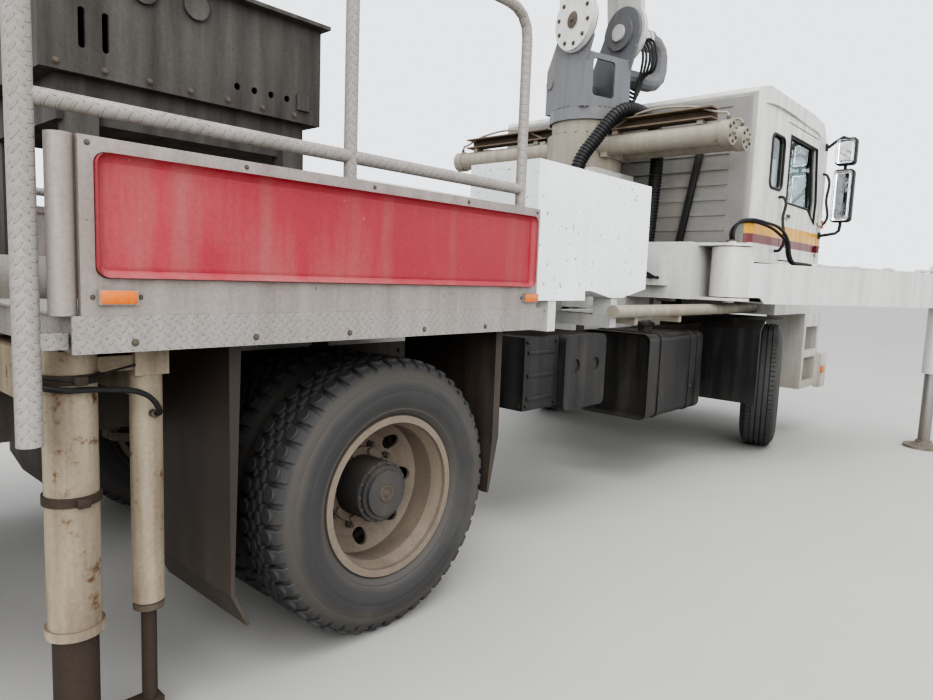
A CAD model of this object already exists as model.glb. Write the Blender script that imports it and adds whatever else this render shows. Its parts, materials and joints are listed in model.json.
import json
import math

import bpy
from mathutils import Matrix, Vector


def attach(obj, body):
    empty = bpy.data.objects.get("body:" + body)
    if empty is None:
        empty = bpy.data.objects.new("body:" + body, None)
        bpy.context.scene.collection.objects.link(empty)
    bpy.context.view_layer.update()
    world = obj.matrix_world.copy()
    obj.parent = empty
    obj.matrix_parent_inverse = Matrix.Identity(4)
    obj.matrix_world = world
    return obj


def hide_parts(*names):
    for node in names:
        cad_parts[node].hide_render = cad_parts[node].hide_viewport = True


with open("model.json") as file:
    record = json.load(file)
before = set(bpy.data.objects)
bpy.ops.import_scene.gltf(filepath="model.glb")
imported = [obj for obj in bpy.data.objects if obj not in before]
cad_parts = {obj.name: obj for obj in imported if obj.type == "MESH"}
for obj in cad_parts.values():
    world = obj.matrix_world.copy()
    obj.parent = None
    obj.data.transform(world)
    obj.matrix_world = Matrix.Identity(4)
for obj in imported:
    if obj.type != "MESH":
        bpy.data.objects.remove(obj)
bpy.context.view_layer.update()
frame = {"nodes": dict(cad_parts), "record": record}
nodes = frame["nodes"]
slotOf = {part["node"]: part["material_slot"] for part in frame["record"]["subparts"]}
print("frame loaded:", len(nodes), "nodes")

# where the photograph was taken from, in metres and degrees, with lens and sensor in millimetres
view = {"place": (-3.1438, -2.9630, 1.3209), "yaw": 41.886, "pitch": 6.207, "roll": -2.134,
        "lens": 26.31, "sensor": 36, "nearest": 0.05, "farthest": 300}


def addCamera():
    yaw, pitch, roll = (math.radians(view[k]) for k in ("yaw", "pitch", "roll"))
    ahead = Vector((math.cos(yaw) * math.cos(pitch), math.sin(yaw) * math.cos(pitch), -math.sin(pitch)))
    side = Vector((math.sin(yaw), -math.cos(yaw), 0))
    down = ahead.cross(side)
    right = side * math.cos(roll) + down * math.sin(roll)
    up = side * math.sin(roll) - down * math.cos(roll)
    turned = Matrix((right, up, -ahead)).transposed().to_4x4()
    bpy.ops.object.camera_add()
    cam = bpy.context.object
    cam.matrix_world = Matrix.Translation(view["place"]) @ turned
    cam.data.sensor_width, cam.data.lens = view["sensor"], view["lens"]
    cam.data.clip_start, cam.data.clip_end = view["nearest"], view["farthest"]
    bpy.context.scene.camera = cam


addCamera()

# the axles, half widths to the wheels' middles and the kingpins, and the steered angle in degrees
truck = {"rearAxle": -1.5, "frontAxle": 2.7, "axleHeight": 0.508, "twinOuter": 1.048, "twinInner": 0.730,
         "steer": 18.0, "kingpin": 0.850, "wheelOffset": 0.175}
steerTurn = math.radians(truck["steer"])
sides = (("left", 1), ("right", -1))
alongX, alongY, upwards = (1, 0, 0), (0, 1, 0), (0, 0, 1)
origin = (0, 0, 0)


# lengths along the truck are given from an axle, as in the part's source
def rear(x):
    return x + truck["rearAxle"]


def front(x):
    return x + truck["frontAxle"]


def atRear(points, s=1):
    return [(rear(x), s * y, z) for x, y, z in points]


def atFront(points, s=1):
    return [(front(x), s * y, z) for x, y, z in points]


def frontWheel(sign):
    # middle of a front wheel and the way its outer side faces
    outward = Vector((-sign * math.sin(steerTurn), sign * math.cos(steerTurn), 0))
    kingpin = Vector((front(0), sign * truck["kingpin"], truck["axleHeight"]))
    return kingpin + outward * truck["wheelOffset"], outward


def frontPlace(sign):
    # where a piece goes that is drawn round the origin with its outer side towards +Y
    middle, outward = frontWheel(sign)
    return Matrix.Translation(middle) @ outward.to_track_quat("Y", "Z").to_matrix().to_4x4()


def turnAbout(centre, angle, axis):
    centre = Vector(centre)
    return Matrix.Translation(centre) @ Matrix.Rotation(angle, 4, axis) @ Matrix.Translation(-centre)


# the slewing column from the rear axle, the boom's pin from the column, and their angles at rest
boom = {"column": 2.93, "azimuth": 73, "pin": (-0.12, 0, 3.18), "luff": -84}
turretTurn = Matrix.Rotation(math.radians(boom["azimuth"]), 4, "Z")
turretFrame = Matrix.Translation((rear(boom["column"]), 0, 0)) @ turretTurn
boomTurn = Matrix.Rotation(math.radians(boom["luff"]), 4, "Y")
boomFrame = turretFrame @ Matrix.Translation(boom["pin"]) @ boomTurn


# shader helpers
def putNode(tree, kind, inputs=(), **settings):
    node = tree.nodes.new("ShaderNode" + kind)
    for key, value in settings.items():
        setattr(node, key, value)
    for key, value in dict(inputs).items():
        if isinstance(value, bpy.types.NodeSocket):
            tree.links.new(value, node.inputs[key])
        else:
            node.inputs[key].default_value = value
    return node


def calc(tree, operation, a, b=0.0, clamp=False):
    return putNode(tree, "Math", {0: a, 1: b}, operation=operation, use_clamp=clamp).outputs[0]


def plus(tree, a, b, clamp=False):
    return calc(tree, "ADD", a, b, clamp)


def times(tree, a, b):
    return calc(tree, "MULTIPLY", a, b)


def blendColours(tree, amount, a, b, how="MIX"):
    return putNode(tree, "Mix", {0: amount, 6: a, 7: b}, data_type="RGBA", blend_type=how).outputs[2]


def fade(tree, value, low, high, toLow=0.0, toHigh=1.0):
    return putNode(tree, "MapRange", {0: value, 1: low, 2: high, 3: toLow, 4: toHigh}).outputs[0]


def noise(tree, vector, scale, detail=4.0, rough=0.6):
    settings = {"Vector": vector, "Scale": scale, "Detail": detail, "Roughness": rough}
    return putNode(tree, "TexNoise", settings).outputs[0]


def scaled(tree, vector, amount):
    return putNode(tree, "Mapping", {"Vector": vector, "Scale": amount}).outputs[0]


def ownPlace(tree):
    return putNode(tree, "TexCoord").outputs["Object"]


def placeAxes(tree):
    return putNode(tree, "SeparateXYZ", {0: ownPlace(tree)}).outputs


def band(tree, value, low, high, soft=0.002):
    # 1 between two values, 0 outside them
    return times(tree, fade(tree, value, low, low + soft), fade(tree, value, high, high + soft, 1.0, 0.0))


def fromAxis(tree, centre, axis):
    # distance of each point from a line
    arm = putNode(tree, "VectorMath", {0: ownPlace(tree), 1: centre}, operation="SUBTRACT").outputs[0]
    across = putNode(tree, "VectorMath", {0: arm, 1: axis}, operation="CROSS_PRODUCT").outputs[0]
    return putNode(tree, "VectorMath", {0: across}, operation="LENGTH").outputs["Value"]


def newGroup(name, inputs, outputs):
    group = bpy.data.node_groups.new(name, "ShaderNodeTree")
    for label, kind, value in inputs:
        socket = group.interface.new_socket(label, in_out="INPUT", socket_type="NodeSocket" + kind)
        socket.default_value = value
    for label, kind in outputs:
        group.interface.new_socket(label, in_out="OUTPUT", socket_type="NodeSocket" + kind)
    return group, group.nodes.new("NodeGroupInput").outputs, group.nodes.new("NodeGroupOutput").inputs


def makeSiteWear():
    # clouds and runs of dirt, rust that starts in spots, concrete spatter, and mud below a line
    group, given, out = newGroup("siteWear", [
        ("Paint", "Color", (0.8, 0.8, 0.8, 1)), ("Dirt", "Color", (0.3, 0.25, 0.2, 1)),
        ("Rust", "Color", (0.15, 0.06, 0.02, 1)), ("Dirt Amount", "Float", 0.3),
        ("Rust Amount", "Float", 0.1), ("Spatter", "Float", 0.0), ("Mud Line", "Float", 0.6),
        ("Gloss", "Float", 0.45)], [("Color", "Color"), ("Roughness", "Float"), ("Height", "Float")])
    place = putNode(group, "TexCoord").outputs
    here = place["Object"]
    level = putNode(group, "SeparateXYZ", {0: here}).outputs[2]
    facing = putNode(group, "SeparateXYZ", {0: place["Normal"]}).outputs[2]
    cloud = noise(group, here, 1.7, 6.0)
    runs = noise(group, scaled(group, here, (15, 15, 1.3)), 1.0, 5.0, 0.55)
    grit = noise(group, here, 85.0, 4.0, 0.7)
    spots = noise(group, here, 9.0, 9.0, 0.72)
    drops = noise(group, here, 34.0, 2.0, 0.5)
    mudTop = plus(group, given["Mud Line"], 0.7)
    mud = fade(group, plus(group, level, times(group, cloud, 0.9)), given["Mud Line"], mudTop, 1.0, 0.0)
    lying = fade(group, facing, 0.55, 0.95, 0.0, 0.35)
    haze = plus(group, times(group, cloud, 0.45), times(group, runs, 0.55))
    haze = fade(group, plus(group, haze, given["Dirt Amount"]), 0.62, 1.02)
    splash = fade(group, plus(group, drops, times(group, given["Spatter"], 0.3)), 0.74, 0.79)
    dirt = plus(group, plus(group, haze, lying), times(group, mud, 0.75))
    dirt = plus(group, dirt, splash, clamp=True)
    sore = plus(group, plus(group, spots, times(group, runs, 0.25)), given["Rust Amount"])
    rust = fade(group, sore, 0.86, 0.93)
    worn = blendColours(group, times(group, dirt, 0.88), given["Paint"], given["Dirt"])
    worn = blendColours(group, rust, worn, given["Rust"])
    shade = fade(group, plus(group, cloud, grit), 0.7, 1.3, 0.8, 1.1)
    grey = putNode(group, "CombineXYZ", {0: shade, 1: shade, 2: shade}).outputs[0]
    group.links.new(blendColours(group, 1.0, worn, grey, "MULTIPLY"), out["Color"])
    covered = calc(group, "MAXIMUM", dirt, rust)
    group.links.new(fade(group, covered, 0.0, 1.0, given["Gloss"], 0.93), out["Roughness"])
    raised = plus(group, times(group, grit, 0.4), times(group, rust, 0.7))
    group.links.new(plus(group, raised, times(group, splash, 0.5)), out["Height"])
    return group


def squaredShare(tree, value, half):
    return calc(tree, "POWER", calc(tree, "DIVIDE", calc(tree, "ABSOLUTE", value), half), 2.0)


def makeChequer():
    # raised bars of chequer plate, turned a quarter turn from one cell to the next
    group, given, out = newGroup("chequerPlate", [("Cell", "Float", 0.03)], [("Height", "Float")])
    axes = placeAxes(group)
    across = plus(group, axes[1], axes[2])
    u = calc(group, "DIVIDE", plus(group, axes[0], across), given["Cell"])
    v = calc(group, "DIVIDE", calc(group, "SUBTRACT", axes[0], across), given["Cell"])
    du = calc(group, "SUBTRACT", calc(group, "FRACT", u), 0.5)
    dv = calc(group, "SUBTRACT", calc(group, "FRACT", v), 0.5)
    count = plus(group, calc(group, "FLOOR", u), calc(group, "FLOOR", v))
    odd = calc(group, "ABSOLUTE", calc(group, "MODULO", count, 2.0))
    along = putNode(group, "Mix", {0: odd, 2: du, 3: dv}).outputs[0]
    narrow = putNode(group, "Mix", {0: odd, 2: dv, 3: du}).outputs[0]
    away = plus(group, squaredShare(group, along, 0.44), squaredShare(group, narrow, 0.15))
    group.links.new(fade(group, away, 1.15, 0.75), out["Height"])
    return group


siteWear = makeSiteWear()
chequerPlate = makeChequer()

# colours are linear; dirt and rust say how much of the surface they take, and the mud line is a height
paints = {
    "frame_grey": {"paint": (0.045, 0.041, 0.037), "dirt": (0.13, 0.105, 0.08),
                   "dirtAmount": 0.34, "rustAmount": 0.1, "mudLine": 0.6, "gloss": 0.6},
    "machine_white": {"paint": (0.58, 0.575, 0.55), "dirt": (0.34, 0.29, 0.23),
                      "dirtAmount": 0.16, "rustAmount": 0.0, "mudLine": 0.3, "gloss": 0.38},
    "cab_white": {"paint": (0.60, 0.59, 0.55), "dirt": (0.30, 0.26, 0.21),
                  "dirtAmount": 0.18, "rustAmount": -0.06, "mudLine": 0.8, "gloss": 0.3},
    "rim_beige": {"paint": (0.21, 0.17, 0.132), "dirt": (0.13, 0.105, 0.08),
                  "dirtAmount": 0.22, "rustAmount": 0.0, "mudLine": 0.0, "gloss": 0.62},
    "tank_steel": {"paint": (0.022, 0.022, 0.022), "dirt": (0.10, 0.082, 0.066),
                   "dirtAmount": 0.16, "rustAmount": -0.05, "mudLine": 0.2, "gloss": 0.36},
    "black_plastic": {"paint": (0.018, 0.018, 0.019), "dirt": (0.10, 0.085, 0.067),
                      "dirtAmount": 0.15, "rustAmount": -1.0, "mudLine": 0.3, "gloss": 0.5},
    "tank_white": {"paint": (0.80, 0.81, 0.81), "dirt": (0.20, 0.165, 0.125), "spatter": 0.2,
                   "dirtAmount": 0.02, "rustAmount": -0.04, "mudLine": 0.3, "gloss": 0.32},
    "panel_aluminium": {"paint": (0.34, 0.305, 0.28), "dirt": (0.20, 0.165, 0.14), "metal": 0.35,
                        "dirtAmount": 0.22, "rustAmount": -0.05, "mudLine": 0.6, "gloss": 0.42},
    "deck_steel": {"paint": (0.30, 0.28, 0.26), "dirt": (0.19, 0.165, 0.14), "chequer": 0.03,
                   "dirtAmount": 0.22, "rustAmount": 0.0, "mudLine": 0.3, "gloss": 0.5},
    "leg_cream": {"paint": (0.44, 0.385, 0.29), "dirt": (0.13, 0.092, 0.062),
                  "dirtAmount": 0.38, "rustAmount": 0.15, "mudLine": 0.1, "gloss": 0.5},
    "leg_steel": {"paint": (0.045, 0.032, 0.025), "dirt": (0.07, 0.05, 0.037), "metal": 0.2,
                  "dirtAmount": 0.3, "rustAmount": 0.15, "mudLine": 0.1, "gloss": 0.55},
    "jack_steel": {"paint": (0.36, 0.36, 0.35), "dirt": (0.22, 0.18, 0.14), "metal": 0.7,
                   "dirtAmount": 0.24, "rustAmount": 0.0, "mudLine": 0.2, "gloss": 0.35},
    "rest_grey": {"paint": (0.13, 0.122, 0.11), "dirt": (0.035, 0.03, 0.026),
                  "dirtAmount": 0.4, "rustAmount": 0.02, "mudLine": 0.0, "gloss": 0.62},
    "pump_grey": {"paint": (0.20, 0.185, 0.165), "dirt": (0.24, 0.22, 0.19),
                  "dirtAmount": 0.36, "rustAmount": 0.08, "mudLine": 0.4, "gloss": 0.6},
    "hopper_grey": {"paint": (0.20, 0.19, 0.17), "dirt": (0.34, 0.325, 0.29),
                    "dirtAmount": 0.42, "rustAmount": 0.05, "mudLine": 0.4, "gloss": 0.7},
    "pipe_cream": {"paint": (0.32, 0.295, 0.245), "dirt": (0.20, 0.16, 0.115),
                   "dirtAmount": 0.26, "rustAmount": 0.08, "mudLine": 0.3, "gloss": 0.5},
    "bolt_steel": {"paint": (0.14, 0.12, 0.10), "dirt": (0.12, 0.095, 0.072), "metal": 0.4,
                   "dirtAmount": 0.3, "rustAmount": 0.1, "mudLine": 0.3, "gloss": 0.5},
    "turret_grey": {"paint": (0.17, 0.18, 0.195), "dirt": (0.16, 0.14, 0.12),
                    "dirtAmount": 0.26, "rustAmount": 0.0, "mudLine": 0.3, "gloss": 0.42},
    "sign_red": {"paint": (0.34, 0.035, 0.048), "dirt": (0.30, 0.16, 0.145),
                 "dirtAmount": 0.16, "rustAmount": -0.3, "mudLine": 0.0, "gloss": 0.4},
    "lamp_orange": {"paint": (0.62, 0.16, 0.02), "dirt": (0.26, 0.17, 0.11),
                    "dirtAmount": 0.16, "rustAmount": -1.0, "mudLine": 0.0, "gloss": 0.25},
    "lamp_red": {"paint": (0.34, 0.01, 0.012), "dirt": (0.2, 0.13, 0.10),
                 "dirtAmount": 0.2, "rustAmount": -1.0, "mudLine": 0.0, "gloss": 0.22},
}
rustColour = (0.115, 0.05, 0.026, 1)


def newMaterial(name):
    made = bpy.data.materials.new(name)
    made.use_nodes = True
    return made, made.node_tree, made.node_tree.nodes["Principled BSDF"]


def addBump(tree, shader, height, strength, distance):
    bump = putNode(tree, "Bump", {"Height": height, "Strength": strength, "Distance": distance})
    tree.links.new(bump.outputs[0], shader.inputs["Normal"])


def makePaint(name, values, colourBy=None):
    made, tree, shader = newMaterial(name)
    wear = tree.nodes.new("ShaderNodeGroup")
    wear.node_tree = siteWear
    given = {"Paint": (*values["paint"], 1), "Dirt": (*values["dirt"], 1), "Rust": rustColour,
             "Dirt Amount": values["dirtAmount"], "Rust Amount": values["rustAmount"],
             "Spatter": values.get("spatter", 0.0), "Mud Line": values["mudLine"], "Gloss": values["gloss"]}
    for label, value in given.items():
        wear.inputs[label].default_value = value
    shader.inputs["Metallic"].default_value = values.get("metal", 0.0)
    if colourBy:
        tree.links.new(colourBy(tree, given["Paint"]), wear.inputs["Paint"])
    tree.links.new(wear.outputs["Color"], shader.inputs["Base Color"])
    tree.links.new(wear.outputs["Roughness"], shader.inputs["Roughness"])
    height = wear.outputs["Height"]
    strength, distance = 0.35, 0.002
    if "chequer" in values:
        plate = tree.nodes.new("ShaderNodeGroup")
        plate.node_tree = chequerPlate
        plate.inputs["Cell"].default_value = values["chequer"]
        height = plus(tree, times(tree, plate.outputs[0], 1.8), height)
        strength, distance = 0.8, 0.0025
    addBump(tree, shader, height, strength, distance)
    return made


# two tones on one node: where the second one starts, in metres, and its colour
cabTones = {"side": 1.10, "yellowBand": (1.70, 1.80), "yellow": (0.66, 0.33, 0.01, 1),
            "redBand": (1.635, 1.70), "red": (0.15, 0.012, 0.02, 1),
            "backWall": (1.872, 1.885), "grime": (0.23, 0.225, 0.215, 1)}
hubTones = {"radius": (0.1155, 0.1175), "grey": (0.055, 0.054, 0.053, 1)}
channelTones = {"side": (0.236, 0.239), "level": (2.392, 2.395), "rust": (0.12, 0.08, 0.055, 1)}
flapTones = {"rearOf": (0.0, 0.01), "brown": (0.05, 0.037, 0.03, 1)}


def cabColours(tree, paint):
    # stripes on the side walls only, and a grimy back wall
    axes = placeAxes(tree)
    onSide = fade(tree, calc(tree, "ABSOLUTE", axes[1]), cabTones["side"], cabTones["side"] + 0.001)
    onBack = fade(tree, axes[0], *cabTones["backWall"], 1.0, 0.0)
    colour = blendColours(tree, onBack, paint, cabTones["grime"])
    for stripe in ("yellow", "red"):
        amount = times(tree, band(tree, axes[2], *cabTones[stripe + "Band"]), onSide)
        colour = blendColours(tree, amount, colour, cabTones[stripe])
    return colour


def hubGrey(centre, axis):
    def colour(tree, paint):
        beyond = fade(tree, fromAxis(tree, centre, axis), *hubTones["radius"])
        return blendColours(tree, beyond, hubTones["grey"], paint)
    return colour


def rustyChannels(tree, paint):
    axes = placeAxes(tree)
    outside = fade(tree, calc(tree, "ABSOLUTE", axes[1]), *channelTones["side"])
    above = fade(tree, axes[2], *channelTones["level"])
    return blendColours(tree, times(tree, outside, above), paint, channelTones["rust"])


def brownFlaps(tree, paint):
    return blendColours(tree, fade(tree, placeAxes(tree)[0], *flapTones["rearOf"]), flapTones["brown"], paint)


# brown dirt that has dried in bands on a tyre's side: radii where each band comes and goes
tyreBands = {"outerStart": (0.405, 0.43), "outerEnd": (0.462, 0.478), "outer": (0.115, 0.095, 0.076, 1),
             "innerEnd": (0.325, 0.345), "inner": (0.125, 0.108, 0.09, 1)}


def makeRubber(name, base, dust, dustAmount, rough=0.72, rings=None):
    # rings: middle and axis of a tyre that has the dirt bands
    made, tree, shader = newMaterial(name)
    here = ownPlace(tree)
    cloud = noise(tree, here, 3.0, 6.0)
    grit = noise(tree, here, 160.0, 4.0, 0.7)
    dusty = plus(tree, times(tree, cloud, 0.7), times(tree, grit, 0.3))
    mask = fade(tree, dusty, 0.62 - dustAmount, 0.9 - dustAmount)
    colour = blendColours(tree, times(tree, mask, 0.8), (*base, 1), (*dust, 1))
    if rings:
        away = plus(tree, fromAxis(tree, *rings), times(tree, calc(tree, "SUBTRACT", cloud, 0.5), 0.06))
        outer = times(tree, fade(tree, away, *tyreBands["outerStart"]),
                      fade(tree, away, *tyreBands["outerEnd"], 1.0, 0.0))
        inner = fade(tree, away, *tyreBands["innerEnd"], 1.0, 0.0)
        colour = blendColours(tree, times(tree, outer, 0.35), colour, tyreBands["outer"])
        colour = blendColours(tree, times(tree, inner, 0.3), colour, tyreBands["inner"])
    tree.links.new(colour, shader.inputs["Base Color"])
    tree.links.new(fade(tree, mask, 0, 1, rough, 0.95), shader.inputs["Roughness"])
    addBump(tree, shader, grit, 0.3, 0.0015)
    return made


def makeGlass():
    made, tree, shader = newMaterial("windowGlass")
    shader.inputs["Transmission Weight"].default_value = 1.0
    shader.inputs["IOR"].default_value = 1.35
    dust = fade(tree, noise(tree, ownPlace(tree), 7.0, 6.0), 0.5, 0.8, 0.02, 0.2)
    tree.links.new(dust, shader.inputs["Roughness"])
    tint = blendColours(tree, dust, (0.40, 0.47, 0.47, 1), (0.34, 0.34, 0.31, 1))
    tree.links.new(tint, shader.inputs["Base Color"])
    return made


def makeChrome(name, clean, film, rough):
    made, tree, shader = newMaterial(name)
    shader.inputs["Metallic"].default_value = 1.0
    mask = fade(tree, noise(tree, ownPlace(tree), 14.0, 6.0), 0.45, 0.75)
    tree.links.new(blendColours(tree, mask, (*clean, 1), (*film, 1)), shader.inputs["Base Color"])
    tree.links.new(fade(tree, mask, 0, 1, rough, 0.5), shader.inputs["Roughness"])
    return made


# rubber and cloth: colour, dust, how much dust, and how rough
rubbers = {"rubber_hose": ((0.014, 0.014, 0.014), (0.08, 0.072, 0.062), 0.02, 0.5),
           "seat_cloth": ((0.03, 0.032, 0.04), (0.10, 0.095, 0.09), 0.0, 0.85),
           "tyre": ((0.040, 0.038, 0.036), (0.11, 0.10, 0.088), 0.10)}
rearRubber = ((0.046, 0.045, 0.044), (0.115, 0.108, 0.10), 0.12)
frontRubber = ((0.050, 0.050, 0.049), (0.12, 0.115, 0.108), 0.14)

materials = {name: makePaint(name, values) for name, values in paints.items()}
materials["cab_striped"] = makePaint("cab_striped", paints["cab_white"], cabColours)
materials["slew_cream"] = makePaint("slew_cream", paints["pipe_cream"], rustyChannels)
materials["guard_black"] = makePaint("guard_black", paints["black_plastic"], brownFlaps)
for finish, values in rubbers.items():
    materials[finish] = makeRubber(finish, *values)
materials["glass"] = makeGlass()
materials["chrome_rod"] = makeChrome("chrome_rod", (0.62, 0.62, 0.62), (0.34, 0.31, 0.27), 0.14)
materials["mirror_face"] = makeChrome("mirror_face", (0.80, 0.82, 0.84), (0.55, 0.55, 0.52), 0.03)
wheelAxes = {"rear": ((rear(0), 0, truck["axleHeight"]), alongY)}
for sideName, s in sides:
    wheelAxes[sideName] = tuple(tuple(v) for v in frontWheel(s))
for wheel, axle in wheelAxes.items():
    rubber = rearRubber if wheel == "rear" else frontRubber
    materials["rim_" + wheel] = makePaint("rim_" + wheel, paints["rim_beige"], hubGrey(*axle))
    materials["tyre_" + wheel] = makeRubber("tyre_" + wheel, *rubber, rings=axle)
print("materials made:", len(materials))

# record slot that a finish without a slot of its own is repainted with
# finish of a CAD node where it isn't the one that its slot names
nodeFinish = {"cab_shell": "cab_striped", "cab_door_left": "cab_striped", "cab_door_right": "cab_striped",
              "rear_rims_left": "rim_rear", "rear_rims_right": "rim_rear", "front_rim_left": "rim_left",
              "front_rim_right": "rim_right", "turret": "turret_grey", "slew_drive": "slew_cream",
              "mudguards": "guard_black"}
for nodeName, slotName in slotOf.items():
    nodes[nodeName].data.materials.clear()
    nodes[nodeName].data.materials.append(materials[nodeFinish.get(nodeName, slotName)])
print("nodes dressed")


# modelling helpers
def deselectAll():
    if bpy.context.object and bpy.context.object.mode != "OBJECT":
        bpy.ops.object.mode_set(mode="OBJECT")
    bpy.ops.object.select_all(action="DESELECT")


def pick(piece):
    deselectAll()
    piece.select_set(True)
    bpy.context.view_layer.objects.active = piece


def editAll(piece, how="SELECT"):
    pick(piece)
    bpy.ops.object.mode_set(mode="EDIT")
    bpy.ops.mesh.select_all(action=how)


def applyModifiers(piece):
    pick(piece)
    for modifier in list(piece.modifiers):
        bpy.ops.object.modifier_apply(modifier=modifier.name)
    return piece


def joinAll(pieces):
    deselectAll()
    for piece in pieces:
        piece.select_set(True)
    bpy.context.view_layer.objects.active = pieces[0]
    if len(pieces) > 1:
        bpy.ops.object.join()
    return bpy.context.view_layer.objects.active


def settle(piece, name, body, finish, smooth=35, moved=None):
    # the piece's place goes into its mesh, and it rides on its body
    if isinstance(piece, list):
        piece = joinAll(piece)
    pick(piece)
    bpy.ops.object.transform_apply(location=True, rotation=True, scale=True)
    if moved is not None:
        piece.data.transform(moved)
        if moved.determinant() < 0:
            piece.data.flip_normals()
    if smooth:
        bpy.ops.object.shade_smooth_by_angle(angle=math.radians(smooth))
    piece.name = piece.data.name = name
    piece.data.materials.clear()
    piece.data.materials.append(materials[finish])
    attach(piece, body)
    return piece


def breakEdges(piece, width, segments=2, byAngle=False):
    bevel = piece.modifiers.new("edges", "BEVEL")
    bevel.width, bevel.segments = width, segments
    if byAngle:
        bevel.limit_method = "ANGLE"
    return applyModifiers(piece)


def block(low, high, edge=0.004):
    # a plate or box between two corners, with its edges broken
    deselectAll()
    bpy.ops.mesh.primitive_cube_add(size=1, location=[(a + b) / 2 for a, b in zip(low, high)])
    piece = bpy.context.object
    piece.scale = [abs(b - a) for a, b in zip(low, high)]
    bpy.ops.object.transform_apply(location=True, rotation=True, scale=True)
    return breakEdges(piece, edge) if edge else piece


def rod(start, end, radius, count=20, edge=0.0):
    deselectAll()
    a, b = Vector(start), Vector(end)
    bpy.ops.mesh.primitive_cylinder_add(vertices=count, radius=radius, depth=(b - a).length,
                                        location=(a + b) / 2)
    piece = bpy.context.object
    piece.rotation_mode = "QUATERNION"
    piece.rotation_quaternion = (b - a).to_track_quat("Z", "Y")
    bpy.ops.object.transform_apply(location=True, rotation=True, scale=True)
    return breakEdges(piece, edge, 2, True) if edge else piece


def roundedPlate(low, high, radius, axis=1):
    # a flat plate whose four corners, seen along one axis, are rounded
    piece = block(low, high, 0)
    editAll(piece, "DESELECT")
    bpy.ops.object.mode_set(mode="OBJECT")
    for edge in piece.data.edges:
        a, b = (piece.data.vertices[i].co for i in edge.vertices)
        edge.select = abs((a - b)[axis]) > 1e-6
    bpy.ops.object.mode_set(mode="EDIT")
    bpy.ops.mesh.select_mode(type="EDGE")
    bpy.ops.mesh.bevel(offset=radius, segments=6)
    bpy.ops.mesh.select_mode(type="VERT")
    bpy.ops.object.mode_set(mode="OBJECT")
    return piece


def spun(profile, centre, axis, steps=48):
    # a line of (radius, along) points turned right round an axis
    axis = Vector(axis).normalized()
    out = axis.orthogonal().normalized()
    spots = [Vector(centre) + out * r + axis * a for r, a in profile]
    deselectAll()
    bpy.ops.mesh.primitive_plane_add(size=0.01, location=spots[0])
    piece = bpy.context.object
    bpy.ops.object.transform_apply(location=True, rotation=True, scale=True)
    bpy.ops.object.mode_set(mode="EDIT")
    bpy.ops.mesh.select_all(action="SELECT")
    bpy.ops.mesh.merge(type="CENTER")
    for a, b in zip(spots, spots[1:]):
        bpy.ops.mesh.extrude_vertices_move(TRANSFORM_OT_translate={"value": b - a})
    bpy.ops.mesh.select_all(action="SELECT")
    bpy.ops.mesh.spin(steps=steps, angle=2 * math.pi, center=centre, axis=axis)
    bpy.ops.mesh.select_all(action="SELECT")
    bpy.ops.mesh.remove_doubles(threshold=0.00005)
    bpy.ops.mesh.normals_make_consistent(inside=False)
    bpy.ops.object.mode_set(mode="OBJECT")
    return piece


def collar(inner, outer, start, end, centre, axis, steps=32):
    # a ring that sits on a tube, between two places along its axis
    return spun([(inner, start), (outer, start), (outer, end), (inner, end)], centre, axis, steps)


def ringOf(piece, centre, axis, count):
    # repeats a piece all the way round an axis
    turn = 2 * math.pi * (count - 1) / count
    editAll(piece)
    bpy.ops.mesh.spin(steps=count - 1, angle=turn, dupli=True, center=centre, axis=axis)
    bpy.ops.object.mode_set(mode="OBJECT")
    return piece


def rowOf(piece, step, count):
    rows = piece.modifiers.new("row", "ARRAY")
    rows.count = count
    rows.use_relative_offset = False
    rows.use_constant_offset = True
    rows.constant_offset_displace = step
    return applyModifiers(piece)


def lineOf(points, radius, handles="AUTO", closed=False, facets=2):
    # a hose, pipe or seal along a line of points
    deselectAll()
    bpy.ops.curve.primitive_bezier_curve_add()
    piece = bpy.context.object
    spline = piece.data.splines[0]
    spline.bezier_points.add(len(points) - 2)
    for knot, spot in zip(spline.bezier_points, points):
        knot.co = spot
        knot.handle_left_type = knot.handle_right_type = handles
    spline.use_cyclic_u = closed
    piece.data.bevel_depth, piece.data.bevel_resolution = radius, facets
    piece.data.resolution_u = 6 if handles == "AUTO" else 1
    piece.data.use_fill_caps = not closed
    bpy.ops.object.convert(target="MESH")
    return bpy.context.object


def sealOf(points, radius):
    # a closed seal with straight runs between its points
    return lineOf(points, radius, "VECTOR", True, 1)


def copyOf(piece, matrix):
    pick(piece)
    bpy.ops.object.duplicate()
    copied = bpy.context.object
    copied.data.transform(matrix)
    return copied


def smoothLine(points, steps=6):
    # points of a smooth line through the given ones
    spots = [Vector(p) for p in points]
    last = len(spots) - 1
    line = []
    for i in range(last):
        before, a, b, after = spots[max(i - 1, 0)], spots[i], spots[i + 1], spots[min(i + 2, last)]
        for k in range(steps):
            t = k / steps
            line.append(0.5 * (2 * a + (b - before) * t + (2 * before - 5 * a + 4 * b - after) * t ** 2
                               + (3 * a - before - 3 * b + after) * t ** 3))
    return line + [spots[-1]]


def roundCorners(x0, x1, z0, z1, r):
    # outline of a window whose corners are arcs
    corners = []
    middles = ((x1 - r, z1 - r), (x0 + r, z1 - r), (x0 + r, z0 + r), (x1 - r, z0 + r))
    for quarter, (cx, cz) in enumerate(middles):
        for k in range(6):
            turn = math.radians(90 * quarter + 18 * k)
            corners.append((cx + r * math.cos(turn), cz + r * math.sin(turn)))
    return corners


def bolt(spot, axis, size=0.012, height=0.008):
    # a hexagon head on its washer
    spot, axis = Vector(spot), Vector(axis).normalized()
    head = rod(spot, spot + axis * height, size, 6, size * 0.12)
    return joinAll([head, rod(spot, spot + axis * height * 0.25, size * 1.35, 14)])


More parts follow.
